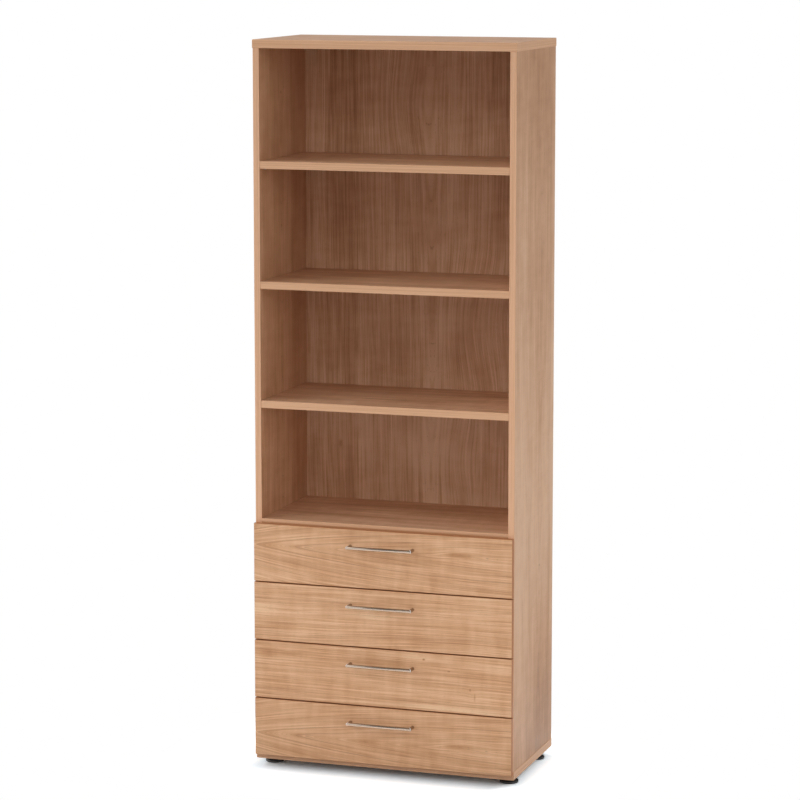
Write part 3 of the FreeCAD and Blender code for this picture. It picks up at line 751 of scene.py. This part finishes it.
def makeFixingTree():
    tree, given = newTree("fixings", Points="Geometry", Head="Object", Seed="Int", Finish="Material")
    head = addNode(tree, "GeometryNodeObjectInfo", {"Object": given["Head"]})
    facing = addNode(tree, "GeometryNodeInputNamedAttribute", {"Name": "facing"}, data_type="FLOAT_VECTOR")
    turned = addNode(tree, "FunctionNodeAlignRotationToVector", {"Vector": facing.outputs[0]}, axis="Z")
    twist = addNode(tree, "FunctionNodeRandomValue", {"Max": math.tau, "Seed": given["Seed"]},
                    data_type="FLOAT")
    spin = joined(tree, z=twist.outputs[1])     # Random Value gives its float result second
    spun = addNode(tree, "FunctionNodeRotateRotation", {"Rotation": turned.outputs[0], "Rotate By": spin},
                   rotation_space="LOCAL")
    points = addNode(tree, "GeometryNodeMeshToPoints", {"Mesh": given["Points"]})
    heads = addNode(tree, "GeometryNodeInstanceOnPoints",
                    {"Points": points.outputs[0], "Instance": head.outputs["Geometry"],
                     "Rotation": spun.outputs[0]})
    endTree(tree, heads.outputs[0], given["Finish"])
    return tree


fixingTree = makeFixingTree()
heads = {kind: makeHead(kind) for kind in fixings}


def setFixings(name, kind, body, seed, spots):
    # spots: pairs of a place and the way that the head looks there
    fixing = fixings[kind]
    mesh = bpy.data.meshes.new(name)
    mesh.from_pydata([place for place, facing in spots], [], [])
    directions = mesh.attributes.new("facing", "FLOAT_VECTOR", "POINT")
    for entry, (place, facing) in zip(directions.data, spots):
        entry.vector = facing
    piece = grow(name, fixingTree, mesh, Head=heads[kind], Seed=seed, Finish=materials[fixing["material"]])
    finishPiece(piece, body, fixing["slot"])


runner = {
    "screwDepths": (-0.136, -0.001, 0.134),         # front to rear, in the cabinet members
    "screwHeight": 0.024,
    "webInset": 0.0012,
    "rollerLift": 0.0067,                           # from a cabinet member's underside to its roller's
    "sheet": 0.0012,
    "memberScrewDepths": (-0.120, 0.010, 0.120),    # in the drawer members
    "memberScrewHeight": 0.012,
}
frontPad = {"aside": 0.389, "fromEdge": 0.014}
fixingSeeds = {"runner": 3, "handle": 10, "pad": 20, "member": 30}


def runnerScrews():
    spots = []
    for hand, side in hands.items():
        low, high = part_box(f"cabinet_runners_{hand}")
        web = side * (max(abs(low.x), abs(high.x)) - runner["webInset"])
        for number in drawerNumbers:
            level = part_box(f"front_rollers_{number}")[0].z - runner["rollerLift"] + runner["screwHeight"]
            spots += [((web, depth, level), (-side, 0, 0)) for depth in runner["screwDepths"]]
    return spots


def handleScrews(number):
    low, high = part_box(f"handle_{number}")
    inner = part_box(f"drawer_front_{number}")[1].y
    half = (high.x - low.x) / 2 - handle["barRadius"]
    return [((side * half, inner, (low.z + high.z) / 2), (0, 1, 0)) for side in hands.values()]


def frontPads(number):
    low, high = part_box(f"drawer_front_{number}")
    levels = (low.z + frontPad["fromEdge"], high.z - frontPad["fromEdge"])
    return [((side * frontPad["aside"], high.y, level), (0, 1, 0))
            for side in hands.values() for level in levels]


def memberScrews(number):
    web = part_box(f"drawer_side_right_{number}")[1].x + runner["sheet"]
    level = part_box(f"drawer_runners_{number}")[0].z + runner["memberScrewHeight"]
    return [((side * web, depth, level), (side, 0, 0))
            for side in hands.values() for depth in runner["memberScrewDepths"]]


setFixings("runner_screws", "flatHead", "root", fixingSeeds["runner"], runnerScrews())
for number in drawerNumbers:
    for name, kind, seed, spots in (
            ("handle_screws", "panHead", fixingSeeds["handle"], handleScrews(number)),
            ("front_pads", "pad", fixingSeeds["pad"], frontPads(number)),
            ("member_screws", "flatHead", fixingSeeds["member"], memberScrews(number))):
        setFixings(f"{name}_{number}", kind, f"drawer_{number}", seed + number, spots)
for head in heads.values():
    bpy.data.objects.remove(head)
print("fixings set")


# Rollers, turned with a crowned rim, a recessed web and a hub

roller = {
    # radius and width pairs in millimetres
    "outline": [(2.6, 0.2), (4.6, 0.2), (4.9, 0.5), (5.0, 1.3), (8.6, 1.3), (8.9, 0.6), (9.2, 0.3),
                (10.6, 0.3), (11.2, 0.7), (11.45, 1.5), (11.5, 3.0), (11.45, 4.5), (11.2, 5.3), (10.6, 5.7),
                (9.2, 5.7), (8.9, 5.4), (8.6, 4.7), (5.0, 4.7), (4.9, 5.5), (4.6, 5.8), (2.6, 5.8)],
    "width": 0.006,
    "steps": 40,
}
for number in drawerNumbers:
    for end in ("front", "rear"):
        node = f"{end}_rollers_{number}"
        low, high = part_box(node)
        form = bmesh.new()
        for start in (low.x, high.x - roller["width"]):
            place = (start, (low.y + high.y) / 2, (low.z + high.z) / 2)
            turn(form, roller["outline"], roller["steps"], place, "X")
        wheels = placeMesh(f"{end}_roller_wheels_{number}", cleanMesh(node, form), materials["nylon"])
        finishPiece(wheels, node, "roller_plastic", node)
print("rollers turned")


# Feet: a broad dished disc with a short neck, and a threaded stem

foot = {
    # radius and height pairs in millimetres
    "outline": [(0.0, 0.8), (22.0, 0.8), (23.0, 0.0), (26.6, 0.0), (27.5, 0.4), (28.0, 1.4), (28.0, 5.4),
                (27.6, 6.8), (26.4, 7.9), (24.6, 8.4), (14.0, 9.4), (11.0, 10.6), (9.6, 12.6), (9.2, 14.0),
                (8.6, 14.2), (4.6, 14.2), (4.6, 39.2), (3.9, 40.0), (0.0, 40.0)],
    "steps": 64,
    "sharpFrom": 40,
    "thread": {"Radius": 0.0046, "Length": 0.022, "Turns": 14.0, "Depth": 0.00035, "TurnSteps": 20,
               "RidgeSides": 4},
    "threadFrom": 0.0155,
}


def makeThreadTree():
    tree, given = newTree("thread", Radius="Float", Length="Float", Turns="Float", Depth="Float",
                          TurnSteps="Int", RidgeSides="Int", Place="Vector", Finish="Material")
    helix = addNode(tree, "GeometryNodeCurveSpiral",
                    {"Resolution": given["TurnSteps"], "Rotations": given["Turns"],
                     "Start Radius": given["Radius"], "End Radius": given["Radius"],
                     "Height": given["Length"]})
    ridge = addNode(tree, "GeometryNodeCurvePrimitiveCircle",
                    {"Resolution": given["RidgeSides"], "Radius": given["Depth"]})
    thread = addNode(tree, "GeometryNodeCurveToMesh",
                     {"Curve": helix.outputs[0], "Profile Curve": ridge.outputs[0], "Fill Caps": True})
    placed = addNode(tree, "GeometryNodeTransform",
                     {"Geometry": thread.outputs[0], "Translation": given["Place"]})
    endTree(tree, placed.outputs[0], given["Finish"])
    return tree


threadTree = makeThreadTree()
for row in ("front", "rear"):
    for hand in hands:
        node = f"foot_{row}_{hand}"
        low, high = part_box(node)
        x, y = (low.x + high.x) / 2, (low.y + high.y) / 2
        form = bmesh.new()
        turn(form, foot["outline"], foot["steps"], (x, y, 0.0))
        black = materials["black_plastic"]
        disc = placeMesh(f"{node}_disc", cleanMesh(node, form), black, foot["sharpFrom"])
        finishPiece(disc, node, "foot_plastic", node)
        thread = grow(f"{node}_thread", threadTree, Place=(x, y, foot["threadFrom"]), Finish=black,
                      **foot["thread"])
        finishPiece(thread, node, "foot_plastic")
print("feet made")


# The stage

stage = {
    "floorSize": 60.0,
    "floorClose": 0.25,             # what the floor gives back close to the object and a little off
    "floorNear": 0.95,
    "floorFar": 0.10,               # the share of it that is left far off
    "closeReach": 0.5,
    "nearReach": (3.5, 6.5),
    "mirroredNear": 2.2,            # what polished metal sees of the floor in front of it and far off
    "mirroredFar": 0.55,
    "mirroredFrom": (-0.6, -1.6, 0.0),
    "mirroredReach": (2.0, 3.5),
    # to the eye the floor is painted darker close to the object: painted shade that deepens its shadow
    # there
    "seenNear": 1.38,               # how pale the floor is to the eye, close to the object and away from it
    "seenFar": 2.20,
    "seenReach": 0.11,
    # towards and past the object's right side it is painted paler: painted light that weakens the shadow
    # there
    "asideLift": 0.98,              # how much paler it is past the object's right side
    "asideReach": (0.33, 0.39),
    "seenTint": (0.92, 1.0, 1.05),
    "whiteReach": (0.04, 0.32),     # where the floor turns as white to the eye as the room
}

room = {
    # brightness in a turn round the object, from behind it past its left, its front and its right,
    # for each height that a direction rises to
    "turns": (0.0, 0.16, 0.222, 0.319, 0.403, 0.50, 0.597, 0.681, 0.778, 0.84, 1.0),
    "heights": {0.09: (0.2, 0.3, 1.7, 2.4, 0.2, 0.45, 0.6, 1.6, 1.6, 0.3, 0.2),
                0.29: (0.4, 0.5, 1.9, 2.6, 0.75, 0.95, 0.8, 1.6, 1.9, 0.5, 0.4),
                0.545: (0.7, 0.8, 2.1, 2.6, 2.4, 1.30, 0.9, 1.1, 1.4, 0.8, 0.7),
                0.80: (1.0, 1.0, 1.8, 2.2, 2.5, 0.60, 0.1, 0.1, 0.6, 0.8, 1.0)},
    "brightest": 3.0,
    # the gap between the left lamp and the front one, where it lies, its light and where it ends behind
    "gapPlace": -0.31,
    "gapWidth": (0.06, 0.19),
    "gapLight": 0.22,
    "gapEnd": (-0.2, 0.1),
    "darkOverhead": (0.84, 0.93),
}


def awayFromBase(tree, parts):
    # how far a place on the floor is from the ground that the bookcase covers
    low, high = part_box("base_panel")
    gaps = []
    for axis in range(2):
        middle, half = (low[axis] + high[axis]) / 2, (high[axis] - low[axis]) / 2
        offset = calc(tree, "ABSOLUTE", calc(tree, "SUBTRACT", parts[axis], middle))
        gaps.append(calc(tree, "MAXIMUM", calc(tree, "SUBTRACT", offset, half), 0.0))
    squared = calc(tree, "POWER", gaps[1], 2.0)
    return calc(tree, "SQRT", calc(tree, "MULTIPLY_ADD", gaps[0], gaps[0], squared))


def floorColour(tree, rays, place, parts, away):
    # lit surfaces, mirrors and the eye each see the floor at a level of its own
    given = fit(tree, away, 0.0, stage["closeReach"], stage["floorClose"], stage["floorNear"])
    given = calc(tree, "MULTIPLY", given,
                 fit(tree, lengthOf(tree, place), *stage["nearReach"], 1.0, stage["floorFar"]))
    before = addNode(tree, "ShaderNodeVectorMath", {0: place, 1: stage["mirroredFrom"]},
                     operation="DISTANCE")
    mirrored = fit(tree, before.outputs["Value"], *stage["mirroredReach"],
                   stage["mirroredNear"], stage["mirroredFar"])
    isMirrored = calc(tree, "MAXIMUM", rays["Is Glossy Ray"], rays["Is Transmission Ray"])
    given = addNode(tree, "ShaderNodeMix", {0: isMirrored, 2: given, 3: mirrored},
                    data_type="FLOAT").outputs[0]
    # painted shade near the object and painted light at its right side, seen by the eye only
    seen = fit(tree, away, 0.0, stage["seenReach"], stage["seenNear"], stage["seenFar"])
    seen = calc(tree, "ADD", seen, fit(tree, parts["X"], *stage["asideReach"], 0.0, stage["asideLift"]))
    tinted = addNode(tree, "ShaderNodeVectorMath", {"Vector": stage["seenTint"], "Scale": seen},
                     operation="SCALE").outputs[0]
    return blended(tree, rays["Is Camera Ray"], given, tinted)


def makeFloor():
    half = stage["floorSize"] / 2
    mesh = bpy.data.meshes.new("floor")
    corners = [(-half, -half, 0), (half, -half, 0), (half, half, 0), (-half, half, 0)]
    mesh.from_pydata(corners, [], [(0, 1, 2, 3)])
    floor = bpy.data.objects.new("floor", mesh)
    bpy.context.scene.collection.objects.link(floor)
    material, tree = newMaterial("pale_floor")
    rays = addNode(tree, "ShaderNodeLightPath").outputs
    place = addNode(tree, "ShaderNodeTexCoord").outputs["Object"]
    parts = separated(tree, place)
    away = awayFromBase(tree, parts)
    shaded = addNode(tree, "ShaderNodeBsdfDiffuse", {"Color": floorColour(tree, rays, place, parts, away)})
    white = addNode(tree, "ShaderNodeEmission", {"Color": grey(1.0), "Strength": 1.0})
    whiteness = calc(tree, "MULTIPLY", rays["Is Camera Ray"], fit(tree, away, *stage["whiteReach"]))
    surface = addNode(tree, "ShaderNodeMixShader",
                      {0: whiteness, 1: shaded.outputs[0], 2: white.outputs[0]})
    output = addNode(tree, "ShaderNodeOutputMaterial")
    tree.links.new(surface.outputs[0], output.inputs["Surface"])
    mesh.materials.append(material)


def roomLight(tree, parts):
    # where in the turn round the object a direction lies: 0 and 1 behind it, a half in front
    turnPart = calc(tree, "ARCTAN2", parts["X"], calc(tree, "MULTIPLY", parts["Y"], -1.0))
    turnPart = calc(tree, "MULTIPLY_ADD", turnPart, 1 / math.tau, 0.5)
    light, reached = None, None
    for height, row in room["heights"].items():
        tones = [(place, grey(value / room["brightest"])) for place, value in zip(room["turns"], row)]
        level = toned(tree, turnPart, tones)
        if light is not None:
            level = blended(tree, fit(tree, parts["Z"], reached, height, curve="LINEAR"), light, level)
        light, reached = level, height
    besideGap = calc(tree, "ABSOLUTE", calc(tree, "SUBTRACT", parts["X"], room["gapPlace"]))
    share = calc(tree, "MAXIMUM", fit(tree, besideGap, *room["gapWidth"], room["gapLight"], 1.0),
                 fit(tree, parts["Y"], *room["gapEnd"]))
    share = calc(tree, "MULTIPLY", share, fit(tree, parts["Z"], *room["darkOverhead"], 1.0, 0.0))
    return blended(tree, share, grey(0.0), light)


def makeRoom():
    world = bpy.data.worlds.new("studio")
    world.use_nodes = True
    tree = world.node_tree
    tree.nodes.clear()
    rays = addNode(tree, "ShaderNodeLightPath").outputs
    parts = separated(tree, addNode(tree, "ShaderNodeTexCoord").outputs["Generated"])
    light = roomLight(tree, parts)
    lit = addNode(tree, "ShaderNodeBackground", {"Color": light, "Strength": room["brightest"]})
    white = addNode(tree, "ShaderNodeBackground", {"Color": grey(1.0), "Strength": 1.0})
    mix = addNode(tree, "ShaderNodeMixShader",
                  {0: rays["Is Camera Ray"], 1: lit.outputs[0], 2: white.outputs[0]})
    output = addNode(tree, "ShaderNodeOutputWorld")
    tree.links.new(mix.outputs[0], output.inputs["Surface"])
    bpy.context.scene.world = world


camera = {
    "place": (2.870, -8.555, 2.502),
    "azimuth": 18.487,
    "pitch": 8.176,
    "sensor": 36.0,
    "lens": 139.1,
    "shift": (-0.0072, -0.045),
}


def makeCamera():
    data = bpy.data.cameras.new("camera")
    data.sensor_width = camera["sensor"]
    data.lens = camera["lens"]
    data.shift_x, data.shift_y = camera["shift"]
    eye = bpy.data.objects.new("camera", data)
    eye.location = camera["place"]
    eye.rotation_euler = (math.radians(90 - camera["pitch"]), 0, math.radians(camera["azimuth"]))
    bpy.context.scene.collection.objects.link(eye)
    bpy.context.scene.camera = eye


makeFloor()
makeRoom()
makeCamera()
bpy.context.scene.view_settings.view_transform = "Standard"
print("stage set")
